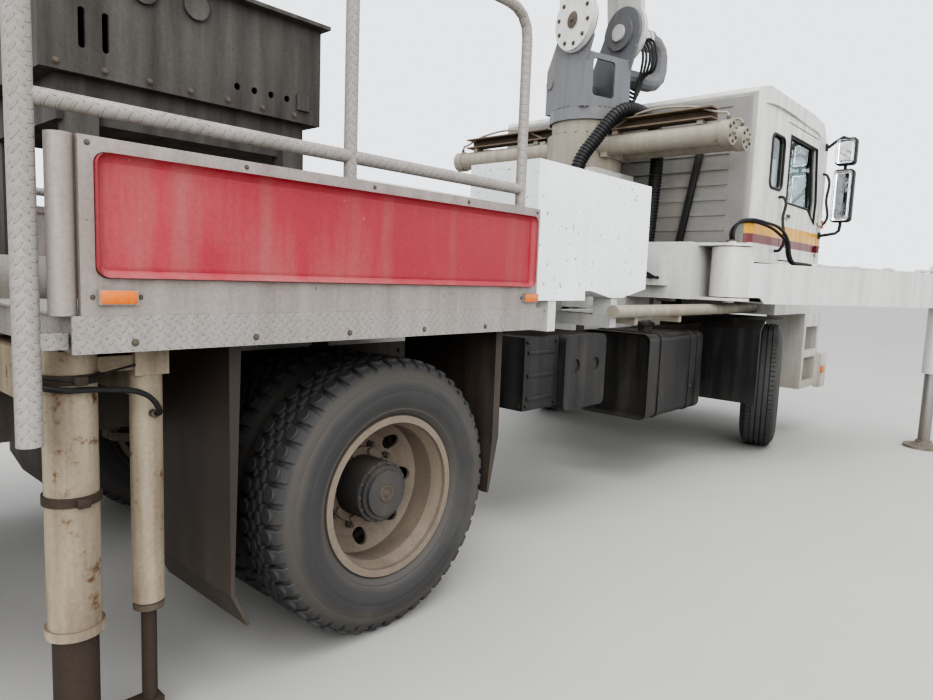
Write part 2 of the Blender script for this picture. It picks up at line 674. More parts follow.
# tyres: one side as (radius, out from the middle), from the bead over raised rings to the shoulder
tyreSide = ((0.284, 0.0990), (0.301, 0.0990), (0.308, 0.1080), (0.316, 0.1150), (0.3225, 0.1205),
            (0.328, 0.1205), (0.340, 0.1280), (0.356, 0.1335), (0.374, 0.1365), (0.388, 0.1375),
            (0.3915, 0.1360), (0.396, 0.1370), (0.415, 0.1340), (0.436, 0.1290), (0.4385, 0.1270),
            (0.446, 0.1265), (0.460, 0.1205), (0.472, 0.1130), (0.482, 0.1030), (0.488, 0.0930),
            (0.4915, 0.0800))
# the tread stands on the turned belt; a centre row is its place out from the middle, its block's
# length and width, and how many blocks it is shifted round
rearTread = {"rows": 46, "crown": 0.5075, "floor": 0.4915, "beltHalf": 0.04, "sunk": 0.006, "taper": 0.9,
             "centreRows": ((0.0145, 0.025, 0.050, 0.22), (0.0335, 0.017, 0.034, 0.72)), "edge": 0.0045}
shoulder = {"start": 0.068, "length": 0.048, "radius": 0.0275, "slimmer": 0.001, "edge": 0.0035,
            "innerRoot": 0.484, "outerRoot": 0.466, "endTop": 0.4885, "endRoot": 0.452,
            "endTopIn": -0.006, "endRootOut": 0.003}


def turnedTyre(centre, crownLine):
    profile = list(tyreSide) + list(crownLine) + [(r, -a) for r, a in reversed(tyreSide)]
    return spun(profile, centre, alongY, 96)


def centreLug(centre, sign, along, length, width):
    # a block of the middle rows, narrower at its top
    low = centre + Vector((-width / 2, sign * along - length / 2, rearTread["floor"] - rearTread["sunk"]))
    high = centre + Vector((width / 2, sign * along + length / 2, rearTread["crown"]))
    piece = block(low, high, 0)
    for vertex in piece.data.vertices:
        if vertex.co.z > high.z - 0.001:
            vertex.co.x = centre.x + (vertex.co.x - centre.x) * rearTread["taper"]
    return breakEdges(piece, rearTread["edge"])


def shoulderLug(centre, sign):
    # a lug with a rounded inner end that wraps down over the tyre's shoulder
    top, half = rearTread["crown"], shoulder["radius"]
    slim = half - shoulder["slimmer"]
    middle = centre + Vector((0, sign * shoulder["start"], 0))
    inner = rod(middle + Vector((0, 0, shoulder["innerRoot"])), middle + Vector((0, 0, top)), half, 16)
    outer = block(middle + Vector((-slim, 0, shoulder["outerRoot"])),
                  middle + Vector((slim, sign * shoulder["length"], top)), 0)
    for vertex in outer.data.vertices:
        if (vertex.co.y - centre.y) * sign > 0.1:
            upper = vertex.co.z > centre.z + 0.49
            vertex.co.z = centre.z + shoulder["endTop" if upper else "endRoot"]
            vertex.co.y += sign * shoulder["endTopIn" if upper else "endRootOut"]
            vertex.co.x = centre.x + (vertex.co.x - centre.x) * rearTread["taper"]
    return joinAll([breakEdges(lug, shoulder["edge"], 1, True) for lug in (inner, outer)])


def addRearTyres():
    rows, floor, belt = rearTread["rows"], rearTread["floor"], rearTread["beltHalf"]
    for sideName, s in sides:
        pieces = []
        for y in (truck["twinOuter"], truck["twinInner"]):
            centre = Vector((rear(0), s * y, truck["axleHeight"]))
            pieces.append(turnedTyre(centre, ((floor, belt), (floor, -belt))))
            for sign in (1, -1):
                pieces.append(ringOf(shoulderLug(centre, sign), centre, alongY, rows))
                for along, length, width, shift in rearTread["centreRows"]:
                    lug = centreLug(centre, sign, along, length, width)
                    angle = 2 * math.pi / rows * (shift + (0.5 if sign < 0 else 0))
                    lug.data.transform(turnAbout(centre, angle, "Y"))
                    pieces.append(ringOf(lug, centre, alongY, rows))
        tyre = settle(pieces, "rear_tread_" + sideName, "rear_wheels_" + sideName, "tyre_rear", 30)
        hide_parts("rear_tyres_" + sideName)
    print("rear tyres made")


# three ribs round the middle, and a row of shoulder blocks on each side
frontTread = {"ribs": (0.040, 0.0, -0.040), "ribWidth": 0.030, "flank": 0.002, "beltHalf": 0.065,
              "crown": 0.5075, "floor": 0.4965, "rows": 84, "blockLow": (-0.0172, 0.061, 0.484),
              "blockEnd": 0.0985, "drop": 0.0065, "edge": 0.0025}


def addFrontTyres():
    crown, floor, half = frontTread["crown"], frontTread["floor"], frontTread["ribWidth"] / 2
    belt, flank = frontTread["beltHalf"], frontTread["flank"]
    for sideName, s in sides:
        ribs = [(floor, belt)]
        for along in frontTread["ribs"]:
            ribs += [(floor, along + half + flank), (crown, along + half)]
            ribs += [(crown, along - half), (floor, along - half - flank)]
        pieces = [turnedTyre(origin, ribs + [(floor, -belt)])]
        for sign in (1, -1):
            x, y, z = frontTread["blockLow"]
            shoulderBlock = block((x, sign * y, z), (-x, sign * frontTread["blockEnd"], crown), 0)
            for vertex in shoulderBlock.data.vertices:
                if abs(vertex.co.y) > 0.09 and vertex.co.z > 0.5:
                    vertex.co.z -= frontTread["drop"]
            shoulderBlock = breakEdges(shoulderBlock, frontTread["edge"], 1)
            pieces.append(ringOf(shoulderBlock, origin, alongY, frontTread["rows"]))
        tyre = settle(pieces, "front_tread_" + sideName, "front_wheel_" + sideName, "tyre_" + sideName,
                      30, frontPlace(s))
        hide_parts("front_tyre_" + sideName)
    print("front tyres made")


# bolts round the hub caps, a turned boss, wheel nuts and studs on the discs, and valve stems; places
# along the axle are given from the face that they sit on
hubs = {"capBolts": 14, "capCircle": 0.108, "capBoltSize": 0.0052, "capBoltSeat": -0.0262,
        "boss": ((0.0, 0.0045), (0.010, 0.0045), (0.013, 0.001), (0.022, 0.001), (0.024, 0.004),
                 (0.031, 0.004), (0.034, -0.001)),
        "nuts": 10, "nutCircle": 0.1575, "nutSize": 0.0135, "nut": (-0.004, 0.020), "stud": (0.019, 0.032),
        "stem": ((0.245, -0.02), (0.240, 0.02), (0.222, 0.045)),
        "rearFaces": (-0.098, 0.070), "frontFaces": (0.042, 0.125)}


def hubDetail(discFace, capFace):
    # outwards is +Y, and the wheel's middle is at the origin
    capBolt = bolt((hubs["capCircle"], capFace + hubs["capBoltSeat"], 0), alongY, hubs["capBoltSize"], 0.006)
    capBolts = ringOf(capBolt, origin, alongY, hubs["capBolts"])
    boss = spun([(r, capFace + out) for r, out in hubs["boss"]], origin, alongY, 32)
    x = hubs["nutCircle"]
    nut = rod(*[(x, discFace + out, 0) for out in hubs["nut"]], hubs["nutSize"], 6, 0.002)
    stud = rod(*[(x, discFace + out, 0) for out in hubs["stud"]], 0.0085, 12, 0.001)
    nuts = ringOf(joinAll([nut, stud]), origin, alongY, hubs["nuts"])
    stem = lineOf([(r, discFace + out, 0) for r, out in hubs["stem"]], 0.0045)
    return [capBolts, boss, nuts, stem]


def addHubs():
    for sideName, s in sides:
        facing = Matrix.Identity(4) if s > 0 else Matrix.Rotation(math.pi, 4, "Z")
        place = Matrix.Translation((rear(0), s * truck["twinOuter"], truck["axleHeight"])) @ facing
        settle(hubDetail(*hubs["rearFaces"]), "rear_hub_bolts_" + sideName, "rear_wheels_" + sideName,
               "bolt_steel", moved=place)
        settle(hubDetail(*hubs["frontFaces"]), "front_hub_bolts_" + sideName, "front_wheel_" + sideName,
               "bolt_steel", moved=frontPlace(s))
    print("hubs made")


# blank sign fields in the side panels, amber lamps with rivets, and the deck's bolts
signs = {"low": (-2.535, 1.2432, 1.285), "high": (-0.840, 1.2462, 1.572), "corner": 0.026,
         "panelFace": 1.2500, "lamps": (-2.490, -0.855), "lampHalf": 0.043,
         "lampLow": (1.2505, 1.2225), "lampHigh": (1.2680, 1.2555), "lampRivets": (-0.055, 0.055),
         "lampRivetLevel": 1.239, "rivets": (-2.55, -2.15, -1.70, -1.25, -0.825), "rivetLevel": 1.5905,
         "firstDeckBolt": (-2.45, 1.128), "deckBoltStep": 0.33, "deckBolts": 5}


def addSigns():
    for sideName, s in sides:
        outwards, face = (0, s, 0), s * signs["panelFace"]
        plate = roundedPlate(*[(x, s * y, z) for x, y, z in (signs["low"], signs["high"])], signs["corner"])
        settle(plate, "sign_field_" + sideName, "truck", "sign_red", 0)
        lenses, rivets = [], []
        for x in signs["lamps"]:
            (y0, z0), (y1, z1), half = signs["lampLow"], signs["lampHigh"], signs["lampHalf"]
            lenses.append(block((x - half, s * y0, z0), (x + half, s * y1, z1), 0.005))
            rivets += [bolt((x + dx, face, signs["lampRivetLevel"]), outwards, 0.0045, 0.003)
                       for dx in signs["lampRivets"]]
        settle(lenses, "side_lamps_" + sideName, "truck", "lamp_orange")
        rivets += [bolt((x, face, signs["rivetLevel"]), outwards, 0.005, 0.003) for x in signs["rivets"]]
        settle(rivets, "panel_rivets_" + sideName, "truck", "bolt_steel")
        x, z = signs["firstDeckBolt"]
        deckBolt = bolt((x, face, z), outwards, 0.007, 0.004)
        settle(rowOf(deckBolt, (signs["deckBoltStep"], 0, 0), signs["deckBolts"]),
               "deck_bolts_" + sideName, "truck", "bolt_steel")
    print("side panels dressed")


# clamps, a hose, a tie wire and a gland on each rear leg; its guide and its lift cylinder stand side by
# side, and hose and wire are given out from their middle line, first beside the cylinder
legs = {"guide": -1.045, "cylinder": -0.855, "y": 1.08, "bands": (1.03, 0.72), "bandRadii": (0.0645, 0.070),
        "bandHalf": 0.012, "lugHalf": (0.015, 0.011), "lugOut": (1.146, 1.172),
        "hoseByCylinder": ((0, 0.040, 0.92), (0, 0.085, 0.93), (-0.045, 0.105, 0.985), (-0.145, 0.09, 1.005)),
        "hoseByGuide": ((-0.055, 0.06, 1.01), (-0.095, -0.03, 1.03), (-0.085, -0.12, 1.07)),
        "wireByCylinder": ((-0.045, 0.044, 1.055), (-0.105, 0.055, 1.045)),
        "wireByGuide": ((0, 0.072, 1.03), (-0.065, 0.03, 1.036), (-0.07, -0.03, 1.04)),
        "port": (0.034, 0.062, 0.92),
        "gland": ((0.0215, 0.358), (0.0415, 0.358), (0.0415, 0.370), (0.034, 0.378), (0.0215, 0.378))}


def legLine(kind, s):
    guideX, cylinderX, y = rear(legs["guide"]), rear(legs["cylinder"]), s * legs["y"]
    return ([(cylinderX + dx, y + s * dy, z) for dx, dy, z in legs[kind + "ByCylinder"]]
            + [(guideX + dx, y + s * dy, z) for dx, dy, z in legs[kind + "ByGuide"]])


def addLegRigging():
    guideX, cylinderX = rear(legs["guide"]), rear(legs["cylinder"])
    halfX, halfZ = legs["lugHalf"]
    for sideName, s in sides:
        y = s * legs["y"]
        bands = []
        for z in legs["bands"]:
            bands.append(collar(*legs["bandRadii"], z - legs["bandHalf"], z + legs["bandHalf"],
                                (guideX, y, 0), upwards))
            bands.append(block((guideX - halfX, s * legs["lugOut"][0], z - halfZ),
                               (guideX + halfX, s * legs["lugOut"][1], z + halfZ), 0.003))
        settle(bands, "leg_bands_" + sideName, "truck", "leg_steel")
        lines = [lineOf(legLine("hose", s), 0.0075), lineOf(legLine("wire", s), 0.003)]
        settle(lines, "leg_hoses_" + sideName, "truck", "rubber_hose")
        start, end, z = legs["port"]
        port = rod((cylinderX, y + s * start, z), (cylinderX, y + s * end, z), 0.012, 6, 0.001)
        gland = spun(legs["gland"], (cylinderX, y, 0), upwards, 28)
        settle([port, gland], "leg_ports_" + sideName, "truck", "bolt_steel")
    print("rear legs dressed")


# bolt circles as (radius, place along their axis), and the covers and bolts on the boom pin's ends
turretParts = {"footCircle": (0.257, 2.576), "footStep": 9, "bearingCircle": (0.270, 2.392),
               "keeperCircle": (0.165, 0.2700), "coverBolt": 0.282,
               "cover": ((0.0, 0.2830), (0.030, 0.2830), (0.048, 0.2805), (0.058, 0.2765)), "hoses": 5}


def turretHose(i):
    # each hose leaves the turret's side above the last one and goes up outside it round the boom's pin
    y, z = -0.275 - 0.017 * i, 2.66 + 0.03 * i
    return [(-0.20, -0.212, z), (-0.20, y, z), (-0.215, y - 0.015, z + 0.09),
            (-0.26 - 0.014 * i, y - 0.015, 2.90), (-0.27 - 0.018 * i, y - 0.01, 3.02),
            (-0.22 - 0.012 * i, y - 0.01, 3.10 + 0.008 * i), (-0.16, y, 3.13), (-0.13, y + 0.01, 3.16),
            (-0.12, -0.275, 3.17)]


def addTurretDetail():
    bolts = []
    radius, level = turretParts["footCircle"]
    for corner in range(4):
        for k in range(-2, 3):
            turn = math.radians(90 * corner + turretParts["footStep"] * k)
            spot = (radius * math.cos(turn), radius * math.sin(turn), level)
            bolts.append(bolt(spot, upwards, 0.0105, 0.012))
    settle(bolts, "slew_bolts", "turret", "bolt_steel", moved=turretFrame)
    radius, level = turretParts["bearingCircle"]
    ring = ringOf(bolt((radius, 0, level), upwards, 0.0085, 0.009), origin, upwards, 20)
    column = Matrix.Translation((rear(boom["column"]), 0, 0))
    settle(ring, "bearing_bolts", "truck", "bolt_steel", moved=column)
    keepers = []
    radius, face = turretParts["keeperCircle"]
    for s in (1, -1):
        keepers.append(ringOf(bolt((radius, s * face, 0), (0, s, 0), 0.0115, 0.011), origin, alongY, 10))
        keepers.append(spun([(r, s * out) for r, out in turretParts["cover"]], origin, alongY, 32))
        keepers.append(bolt((0.0, s * turretParts["coverBolt"], 0), (0, s, 0), 0.014, 0.01))
    settle(keepers, "boom_pin_keepers", "boom_arm_1", "bolt_steel", moved=boomFrame)
    hoses = [lineOf(turretHose(i), 0.0095) for i in range(turretParts["hoses"])]
    settle(hoses, "turret_hoses", "turret", "rubber_hose", moved=turretFrame)
    print("turret dressed")


# ribbed hose from the cross box up over the slewing cylinders and down in front of the turret's foot;
# its line is given from the rear axle
bigHose = {"radius": 0.050, "ridge": 0.006, "pitch": 0.024, "ridgeHalf": (0.008, 0.003), "sunk": 0.002,
           "line": ((3.160, -0.460, 1.6155), (3.172, -0.475, 1.950), (3.168, -0.490, 2.260),
                    (3.110, -0.500, 2.415), (2.980, -0.500, 2.500), (2.800, -0.470, 2.530),
                    (2.680, -0.410, 2.480), (2.580, -0.310, 2.300), (2.500, -0.240, 2.130),
                    (2.430, -0.205, 1.800), (2.340, -0.170, 1.500), (2.250, -0.150, 1.318))}


def addBigHose():
    outside = bigHose["radius"]
    inside = outside - bigHose["ridge"]
    foot, crest = bigHose["ridgeHalf"]
    root = inside - bigHose["sunk"]
    spots = smoothLine(atRear(bigHose["line"]))
    ring = spun([(root, -foot), (outside, -crest), (outside, crest), (root, foot), (root, -foot)],
                origin, upwards, 16)
    pieces = [lineOf(spots, inside, "VECTOR", facets=3)]
    gone = 0.0
    for a, b in zip(spots, spots[1:]):
        turn = (b - a).to_track_quat("Z", "Y").to_matrix().to_4x4()
        while gone < (b - a).length:
            pieces.append(copyOf(ring, Matrix.Translation(a + (b - a).normalized() * gone) @ turn))
            gone += bigHose["pitch"]
        gone -= (b - a).length
    pick(ring)
    bpy.ops.object.delete()
    settle(pieces, "ribbed_hose", "truck", "rubber_hose", 40)
    print("ribbed hose made")


# the slewing cylinders lie across the truck, one behind and one in front of the column: where each is,
# and how high its pipe runs
slewCylinders = {"cylinders": ((-0.12, 2.490), (0.12, 2.392)), "end": 1.190, "axisLevel": 2.3,
                 "boltLevel": 2.356, "portY": 1.155, "port": (2.378, 2.405)}


def addSlewDetail():
    fittings, pipes = [], []
    portY, (portLow, portHigh) = slewCylinders["portY"], slewCylinders["port"]
    for s in (1, -1):
        for dx, level in slewCylinders["cylinders"]:
            x = rear(boom["column"]) + dx
            endBolt = bolt((x, s * slewCylinders["end"], slewCylinders["boltLevel"]), (0, s, 0), 0.009, 0.008)
            fittings.append(ringOf(endBolt, (x, 0, slewCylinders["axisLevel"]), alongY, 6))
            fittings.append(rod((x, s * portY, portLow), (x, s * portY, portHigh), 0.013, 6, 0.001))
            pipes.append(lineOf([(x, s * portY, 2.40), (x, s * 1.145, 2.425), (x - 0.01, s * 1.10, 2.432),
                                 (x - 0.02, s * 0.9, level), (x - 0.02, s * 0.5, level), (x, s * 0.30, 2.41)],
                                0.008))
    settle(fittings, "slew_fittings", "truck", "bolt_steel")
    settle(pipes, "slew_pipes", "truck", "pipe_cream")
    print("slewing drive dressed")


# pipes with clamps along each arm's left side: half the arm's width, the run's ends, and the arm's axis
flipLengthwise = Matrix.Scale(-1, 4, alongX)
armLines = {"boom_arm_1": (0.246, 0.80, 3.95, 0.0, boomFrame),
            "boom_arm_2": (0.170, 0.95, 3.15, 0.225,
                           boomFrame @ Matrix.Translation((5.0, 0, 0.205)) @ flipLengthwise),
            "boom_arm_3": (0.120, 0.95, 3.85, 0.115, boomFrame @ Matrix.Translation((0.80, 0, 0.580)))}


def addBoomPipes():
    for body, (half, start, end, up, place) in armLines.items():
        pieces = []
        for z in (up - 0.035, up - 0.003, up + 0.029):
            pieces.append(lineOf([(start, half - 0.002, z), (start + 0.02, half + 0.014, z),
                                  (start + 0.08, half + 0.016, z), (end - 0.08, half + 0.016, z),
                                  (end - 0.02, half + 0.014, z), (end, half - 0.002, z)], 0.0075))
        clamp = [block((start + 0.25, half, up - 0.055), (start + 0.285, half + 0.027, up + 0.05), 0.003)]
        for dz in (-0.045, 0.042):
            clamp.append(bolt((start + 0.2675, half + 0.027, up + dz), alongY, 0.006, 0.004))
        pieces.append(rowOf(joinAll(clamp), ((end - start - 0.55) / 4, 0, 0), 5))
        settle(pieces, body + "_pipes", body, "pump_grey", moved=place)
    print("boom pipes made")


# the pivot from the rear axle and the middle, the beam's angle at rest, and two lines side by side
outriggers = {"pivot": (3.2, 1.09), "angle": 25, "lines": (0.0, 0.024), "pipeLevel": 1.4935,
              "cap": ((0.0, 1.6420), (0.026, 1.6420), (0.036, 1.6385), (0.0385, 1.6305)),
              "flangeCircle": (0.085, 1.615), "clampStep": 0.39, "clamps": 4}


def outriggerHose(o):
    # loop over the pivot to the pipes; the second hose lies beside and a little below the first
    return [(0.0, 0.012 - o, 1.640), (-0.006, 0.012 - o, 1.690), (0.03, 0.01 - o, 1.755 - o * 0.5),
            (0.13, -o, 1.790 - o * 0.5), (0.30, -o, 1.780 - o * 0.5), (0.46, -o, 1.735 - o),
            (0.535, -o, 1.650), (0.56, -o, 1.560), (0.60, -o, 1.506), (0.68, -o, 1.497),
            (0.80, -o, outriggers["pipeLevel"])]


def outriggerPipe(o):
    z = outriggers["pipeLevel"]
    return [(0.80, -o, z), (1.20, -o, z), (2.10, -o, z), (2.19, -o, 1.52), (2.225, -o, 1.56)]


def addOutriggerRigging():
    # drawn on the left outrigger along +X, and flipped for the right one
    x, level = rear(outriggers["pivot"][0]), outriggers["pipeLevel"]
    for sideName, s in sides:
        pivot = (x, s * outriggers["pivot"][1], 0)
        flip = Matrix.Identity(4) if s > 0 else Matrix.Scale(-1, 4, alongY)
        turn = Matrix.Rotation(math.radians(outriggers["angle"] * s), 4, "Z")
        place = Matrix.Translation(pivot) @ turn @ flip
        hoses, pipes = [], []
        for o in outriggers["lines"]:
            hoses.append(lineOf(outriggerHose(o), 0.0105))
            pipes.append(lineOf(outriggerPipe(o), 0.008))
            pipes.append(rod((0.78, -o, level), (0.83, -o, level), 0.0145, 6, 0.001))
        settle(hoses, "outrigger_hoses_" + sideName, "outrigger_" + sideName, "rubber_hose", moved=place)
        clamp = joinAll([block((0.86, -0.048, 1.4838), (0.895, 0.024, 1.5055), 0.003),
                         bolt((0.8775, -0.012, 1.5055), upwards, 0.006, 0.004)])
        pipes.append(rowOf(clamp, (outriggers["clampStep"], 0, 0), outriggers["clamps"]))
        settle(pipes, "outrigger_pipes_" + sideName, "outrigger_" + sideName, "machine_white", moved=place)
        cap = spun(outriggers["cap"], pivot, upwards, 28)
        radius, z = outriggers["flangeCircle"]
        flange = ringOf(bolt((x + radius, pivot[1], z), upwards, 0.011, 0.01), pivot, upwards, 8)
        settle([cap, flange], "pivot_bolts_" + sideName, "truck", "bolt_steel")
    print("outriggers dressed")


# the cab's side, from the front axle: seals, handles, gutter, indicator and mirror faces
cabSide = {"quarterWindow": (-0.540, -0.270, 2.060, 2.450, 0.05), "quarterFace": 1.152, "doorFace": 1.1495,
           "doorWindow": ((-0.130, 1.985), (0.420, 1.985), (0.630, 1.880), (0.650, 2.065), (0.560, 2.500),
                          (-0.130, 2.500)),
           "handle": ((-0.160, 1.1505, 1.868), (-0.070, 1.1775, 1.894)),
           "lock": ((-0.045, 1.149, 1.880), (-0.045, 1.158, 1.880)),
           "frontGrab": ((0.800, 1.145, 2.33), (0.800, 1.185, 2.31), (0.812, 1.190, 2.10),
                         (0.815, 1.190, 1.90), (0.800, 1.145, 1.88)),
           "rearGrab": ((-0.300, 1.145, 1.60), (-0.300, 1.190, 1.61), (-0.302, 1.192, 1.85),
                        (-0.300, 1.190, 2.00), (-0.300, 1.145, 2.01)),
           "gutter": ((-0.80, 1.128, 2.600), (-0.70, 1.152, 2.632), (0.30, 1.152, 2.640),
                      (0.60, 1.150, 2.620), (0.68, 1.140, 2.585)),
           "indicator": ((0.862, 1.135, 1.86), (0.918, 1.160, 1.93))}
mirrors = {"x": 0.8155, "y": 1.310, "width": 0.145, "thick": 0.0027, "corner": 0.028,
           "faces": ((2.512, 0.210), (2.135, 0.433))}


def addCabSides():
    for sideName, s in sides:
        corners = roundCorners(*cabSide["quarterWindow"])
        quarter = sealOf([(front(x), s * cabSide["quarterFace"], z) for x, z in corners], 0.011)
        settle(quarter, "quarter_seal_" + sideName, "truck", "black_plastic")
        seal = sealOf([(front(x), s * cabSide["doorFace"], z) for x, z in cabSide["doorWindow"]], 0.010)
        handle = block(*atFront(cabSide["handle"], s), 0.006)
        lock = rod(*atFront(cabSide["lock"], s), 0.012, 16, 0.002)
        settle([seal, handle, lock], "door_trim_" + sideName, "door_" + sideName, "black_plastic")
        grabs = [lineOf(atFront(cabSide[grab], s), 0.011) for grab in ("frontGrab", "rearGrab")]
        settle(grabs, "grab_handles_" + sideName, "truck", "black_plastic")
        gutter = lineOf(atFront(cabSide["gutter"], s), 0.009)
        settle(gutter, "rain_gutter_" + sideName, "truck", "cab_white")
        indicator = block(*atFront(cabSide["indicator"], s), 0.006)
        settle(indicator, "cab_indicator_" + sideName, "truck", "lamp_orange")
        half, y = mirrors["width"] / 2, s * mirrors["y"]
        back, face = front(mirrors["x"]), front(mirrors["x"] + mirrors["thick"])
        faces = [roundedPlate((back, y - half, z - h / 2), (face, y + half, z + h / 2), mirrors["corner"], 0)
                 for z, h in mirrors["faces"]]
        settle(faces, "mirror_faces_" + sideName, "truck", "mirror_face", 0)
    print("cab's sides dressed")


# the windscreen leans back above its foot; a wiper arm's points are across from its pivot, height, and
# out from the glass, and a blade's are across and height
cabEnds = {"screenFoot": 1.030, "screenLevel": 1.90, "screenLean": 0.2308,
           "screen": (-0.98, 0.98, 1.95, 2.52, 0.08), "wipers": (-0.62, 0.10, 0.78), "pivotLevel": 1.885,
           "arm": ((0, 1.885, 0.008), (0, 1.905, 0.022), (-0.10, 2.00, 0.020), (-0.36, 2.22, 0.018)),
           "blade": ((-0.22, 2.105), (-0.48, 2.37)),
           "duct": ((-0.895, -0.724, 1.55), (-0.852, -0.676, 2.50)), "ductMiddle": (0, -0.70, 2.0),
           "ductLean": 10}


def onScreen(y, z, out):
    # a point on the windscreen, or out from it
    lean = max(0, z - cabEnds["screenLevel"]) * cabEnds["screenLean"]
    return (front(cabEnds["screenFoot"] - lean + out), y, z)


def addCabEnds():
    pieces = []
    level = cabEnds["pivotLevel"]
    for y in cabEnds["wipers"]:
        pieces.append(lineOf([onScreen(y + dy, z, out) for dy, z, out in cabEnds["arm"]], 0.0075))
        pieces.append(rod(*[onScreen(y + dy, z, 0.008) for dy, z in cabEnds["blade"]], 0.008, 8))
        pieces.append(rod(onScreen(y, level, -0.004), onScreen(y, level, 0.018), 0.018, 14, 0.003))
    settle(pieces, "wipers", "truck", "black_plastic")
    seal = sealOf([onScreen(y, z, 0.001) for y, z in roundCorners(*cabEnds["screen"])], 0.012)
    settle(seal, "screen_seal", "truck", "black_plastic")
    # a dark air duct leans across the back wall
    lean = turnAbout(cabEnds["ductMiddle"], math.radians(cabEnds["ductLean"]), "X")
    settle(block(*atFront(cabEnds["duct"]), 0.010), "back_wall_duct", "truck", "black_plastic", moved=lean)
    print("cab's ends dressed")


# front lamps from the front axle, tail lamps from the rear one, and a blank number plate
lamps = {"middle": (0.860, 0.570), "face": 1.288,
         "lens": ((0.0, 0.010), (0.04, 0.009), (0.07, 0.004), (0.0865, -0.003), (0.0865, -0.02)),
         "trim": ((0.0865, -0.004), (0.0885, 0.006), (0.0915, 0.0108), (0.0945, 0.0115), (0.0945, -0.004),
                  (0.0865, -0.004)),
         "indicator": ((1.12, 1.188, 0.535), (1.22, 1.202, 0.605)),
         "tailBox": ((-2.450, 0.66, 0.905), (-2.345, 1.00, 1.035)),
         "tailHanger": ((-2.385, 0.615, 0.955), (-2.345, 0.665, 0.985)),
         "tailLens": ((-2.458, 0.675, 0.918), (-2.448, 0.770, 1.022)), "tailStep": 0.106,
         "plate": ((1.268, -0.26, 0.535), (1.272, 0.26, 0.648))}


def addLamps():
    face = front(lamps["face"])
    for sideName, s in sides:
        middle = (0, s * lamps["middle"][0], lamps["middle"][1])
        lens = spun([(r, face + out) for r, out in lamps["lens"]], middle, alongX, 36)
        settle(lens, "headlamp_lens_" + sideName, "truck", "glass")
        trim = spun([(r, face + out) for r, out in lamps["trim"]], middle, alongX, 36)
        settle(trim, "headlamp_trim_" + sideName, "truck", "chrome_rod")
        indicator = block(*atFront(lamps["indicator"], s), 0.004)
        settle(indicator, "front_indicator_" + sideName, "truck", "lamp_orange")
        box = block(*atRear(lamps["tailBox"], s), 0.010)
        hanger = block(*atRear(lamps["tailHanger"], s), 0.003)
        settle([box, hanger], "tail_lamp_box_" + sideName, "truck", "black_plastic")
        lenses = []
        for i in range(3):
            corners = [(x, y + lamps["tailStep"] * i, z) for x, y, z in lamps["tailLens"]]
            lenses.append(block(*atRear(corners, s), 0.004))
        settle([lenses[0], lenses[2]], "tail_lenses_" + sideName, "truck", "lamp_red")
        settle(lenses[1], "tail_indicator_" + sideName, "truck", "lamp_orange")
    settle(roundedPlate(*atFront(lamps["plate"]), 0.01, 0), "front_plate", "truck", "panel_aluminium", 0)
    print("lamps made")


# the fuel tank's cap, straps and seams, the battery box's cover, and the water tanks' fillers
tanks = {"cap": (2.61, -0.77), "grips": 14, "straps": (2.5525, 3.0125), "seams": (2.4225, 3.1475),
         "capSide": ((0.0, 1.062), (0.030, 1.062), (0.040, 1.058), (0.055, 1.056), (0.058, 1.050),
                     (0.058, 1.030), (0.050, 1.0275)),
         "seamHalf": 0.002, "seamLow": (-0.933, 0.4265), "seamHigh": (-0.427, 0.9885), "seamCorner": 0.05,
         "coverRibs": (0.70, 0.82, 0.94), "coverBolts": ((1.135, 1.385), (0.665, 0.995)),
         "filler": (1.90, 0.71),
         "fillerSide": ((0.0, 1.9255), (0.045, 1.9255), (0.056, 1.921), (0.060, 1.912), (0.060, 1.9052))}


def addTankDetail():
    x, y = rear(tanks["cap"][0]), tanks["cap"][1]
    cap = spun(tanks["capSide"], (x, y, 0), upwards, 32)
    grip = block((x + 0.056, y - 0.004, 1.032), (x + 0.062, y + 0.004, 1.050), 0.001)
    settle([cap, ringOf(grip, (x, y, 0), upwards, tanks["grips"])], "fuel_cap", "truck", "black_plastic")
    straps = []
    for x in (rear(strap) for strap in tanks["straps"]):
        straps.append(bolt((x, -0.9312, 0.60), (0, -1, 0), 0.009, 0.012))
        straps.append(block((x - 0.020, -0.9345, 0.66), (x + 0.020, -0.9311, 0.86), 0.001))
    settle(straps, "tank_strap_bolts", "truck", "bolt_steel")
    half = tanks["seamHalf"]
    seams = [roundedPlate((rear(x) - half, *tanks["seamLow"]), (rear(x) + half, *tanks["seamHigh"]),
                          tanks["seamCorner"], 0) for x in tanks["seams"]]
    settle(seams, "tank_end_seams", "truck", "tank_steel")
    cover = [block(*atRear(((1.140, -0.8960, z - 0.010), (1.380, -0.8898, z + 0.010))), 0.003)
             for z in tanks["coverRibs"]]
    boltXs, boltZs = tanks["coverBolts"]
    cover += [bolt((rear(x), -0.890, z), (0, -1, 0), 0.009, 0.008) for x in boltXs for z in boltZs]
    settle(cover, "battery_cover_ribs", "truck", "black_plastic")
    x, y = tanks["filler"]
    for sideName, s in sides:
        filler = spun(tanks["fillerSide"], (rear(x), s * y, 0), upwards, 32)
        settle(filler, "tank_filler_" + sideName, "truck", "black_plastic")
    print("tanks dressed")


